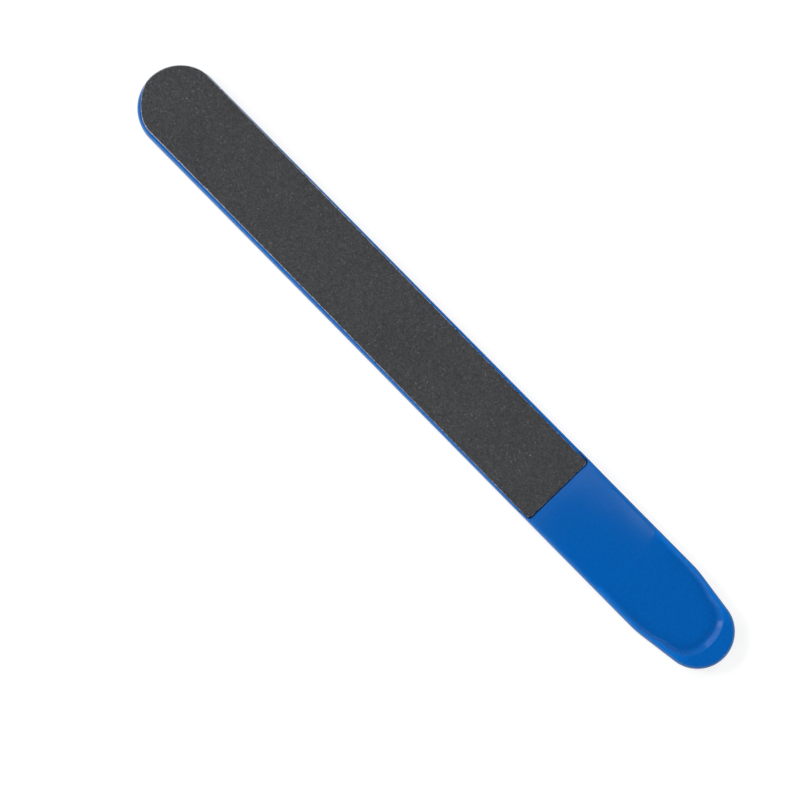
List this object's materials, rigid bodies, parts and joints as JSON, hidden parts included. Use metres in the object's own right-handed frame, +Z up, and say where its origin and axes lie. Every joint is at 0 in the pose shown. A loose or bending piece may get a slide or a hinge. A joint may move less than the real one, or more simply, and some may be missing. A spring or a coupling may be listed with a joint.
{
  "type": "nail file",
  "caption": "Flat hand nail file with a round tip, a black abrasive strip bonded on the face, which is stepped down for it, and a scooped thumb rest in the tapered handle end.",
  "frame": {"origin": "middle of the plain back, where the file lies on a surface", "axes": "+X along the file towards the handle end, the round tip at -X; +Y across the file; +Z up out of the abrasive face"},
  "size_m": [0.18, 0.019, 0.0026],
  "materials": {
    "body_plastic": "satin moulded plastic, blue, with a very fine texture",
    "adhesive": "clear pressure-sensitive acrylic film",
    "backing_sheet": "die-cut grey backing sheet, dull",
    "grit": "black abrasive grains in resin, dull with a few bright grains"
  },
  "bodies": {
    "root": {"file_body": "body_plastic", "adhesive_film": "adhesive", "abrasive_backing": "backing_sheet", "grit_coat": "grit"}
  },
  "joints": []
}
